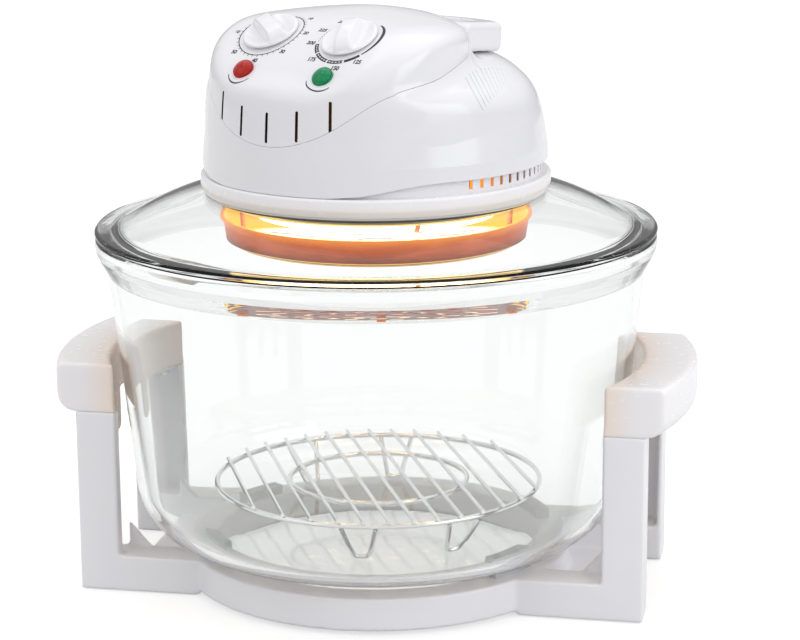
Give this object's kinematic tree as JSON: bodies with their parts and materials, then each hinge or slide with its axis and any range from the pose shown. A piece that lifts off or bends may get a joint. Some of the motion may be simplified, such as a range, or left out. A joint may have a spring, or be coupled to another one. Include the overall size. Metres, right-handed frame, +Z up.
{
  "type": "halogen oven",
  "caption": "Countertop halogen oven: glass bowl in a moulded stand, lift-off glass lid with lamp, fan, timer and thermostat knobs and a folding carry handle.",
  "frame": {"origin": "on the table, under the middle of the bowl and stand", "axes": "+Z up; +X from the left grip to the right grip; +Y to the rear; the lid is turned 25 degrees clockwise on the bowl"},
  "size_m": [0.38, 0.33, 0.3438],
  "materials": {
    "stand_plastic": "glossy white moulding",
    "head_plastic": "glossy white moulding",
    "panel_plastic": "glossy white moulding with printed dials",
    "knob_plastic": "glossy white moulding",
    "handle_plastic": "glossy white moulding",
    "rest_silicone": "matt silicone",
    "foot_rubber": "matt rubber",
    "screw_steel": "zinc plated",
    "bowl_glass": "clear toughened glass",
    "lid_glass": "clear toughened glass",
    "rack_chrome": "bright plated wire",
    "gland_plastic": "moulded bush",
    "red_lens": "clear red moulding",
    "green_lens": "clear green moulding",
    "bulb_glass": "small neon bulbs",
    "control_case": "phenolic moulding",
    "sheet_steel": "plain sheet",
    "core_steel": "varnished laminations",
    "copper_wire": "enamelled copper wire under tape",
    "fan_plastic": "heat resisting moulding",
    "fan_aluminium": "plain pressed sheet",
    "insulation": "mica and fibre board",
    "reflector_metal": "bright reflector sheet",
    "lamp_glass": "quartz tube",
    "filament_wire": "tungsten coil, glowing",
    "lamp_ceramic": "plain ceramic",
    "guard_steel": "stainless sheet, heat tinted",
    "switch_plastic": "black moulding",
    "plunger_plastic": "red moulding"
  },
  "bodies": {
    "stand": {"base_frame": "stand_plastic", "left_grip": "stand_plastic", "right_grip": "stand_plastic", "grip_screws": "screw_steel", "bowl_rests": "rest_silicone", "feet": "foot_rubber"},
    "bowl": {"glass_bowl": "bowl_glass"},
    "rack": {"rack_rings": "rack_chrome", "rack_wires": "rack_chrome", "rack_legs": "rack_chrome"},
    "lid": {"glass_lid": "lid_glass", "upper_gasket": "rest_silicone", "lower_gasket": "rest_silicone", "bezel_ring": "head_plastic", "vent_collar": "head_plastic", "main_housing": "head_plastic", "control_panel": "panel_plastic", "housing_screws": "screw_steel", "cord_gland": "gland_plastic", "power_lens": "red_lens", "heat_lens": "green_lens", "indicator_bulbs": "bulb_glass", "timer_body": "control_case", "thermostat_body": "control_case", "motor_plate": "sheet_steel", "motor_posts": "screw_steel", "motor_stator": "core_steel", "motor_coil": "copper_wire", "lower_bearing_bracket": "sheet_steel", "upper_bearing_bracket": "sheet_steel", "insulation_disc": "insulation", "reflector_dish": "reflector_metal", "halogen_lamp": "lamp_glass", "lamp_filament": "filament_wire", "lamp_caps": "lamp_ceramic", "lamp_brackets": "sheet_steel", "heater_guard": "guard_steel", "guard_posts": "screw_steel", "guard_nuts": "screw_steel", "thermal_cutout": "switch_plastic", "terminal_block": "lamp_ceramic", "safety_switch": "switch_plastic"},
    "timer_control": {"timer_shaft": "screw_steel", "timer_knob": "knob_plastic"},
    "thermostat_control": {"thermostat_shaft": "screw_steel", "thermostat_knob": "knob_plastic"},
    "fan_rotor": {"motor_rotor": "core_steel", "motor_shaft": "screw_steel", "cooling_fan": "fan_plastic", "hot_air_fan": "fan_aluminium", "fan_nut": "screw_steel"},
    "handle": {"carry_handle": "handle_plastic", "handle_pins": "screw_steel", "switch_cam": "switch_plastic"},
    "plunger": {"switch_plunger": "plunger_plastic"}
  },
  "joints": [
    {"name": "bowl_lift", "type": "slide", "parent": "stand", "child": "bowl", "axis": [0, 0, 1], "range_m": [0, 0.15]},
    {"name": "lid_lift", "type": "slide", "parent": "bowl", "child": "lid", "axis": [0, 0, 1], "range_m": [0, 0.25]},
    {"name": "rack_lift", "type": "slide", "parent": "bowl", "child": "rack", "axis": [0, 0, 1], "range_m": [0, 0.12]},
    {"name": "timer_turn", "type": "hinge", "parent": "lid", "child": "timer_control", "pos_m": [-0.05073, -0.04254, 0.33099], "axis": [0.2032, 0.4357, -0.8768], "range_deg": [-30, 270]},
    {"name": "thermostat_turn", "type": "hinge", "parent": "lid", "child": "thermostat_control", "pos_m": [0.00002, -0.06621, 0.33099], "axis": [0.2032, 0.4357, -0.8768], "range_deg": [-165, 105]},
    {"name": "fan_spin", "type": "hinge", "parent": "lid", "child": "fan_rotor", "pos_m": [0, 0, 0.26], "axis": [0, 0, 1], "continuous": true},
    {"name": "handle_fold", "type": "hinge", "parent": "lid", "child": "handle", "pos_m": [0.00761, 0.01631, 0.3258], "axis": [0.9063, -0.4226, 0], "range_deg": [0, 85]},
    {"name": "switch_press", "type": "slide", "parent": "lid", "child": "plunger", "axis": [0, 0, 1], "range_m": [0, 0.0025]}
  ],
  "couplings": [
    {"joint": "switch_press", "follows": "handle_fold", "m_per_rad": 0.0016835}
  ]
}
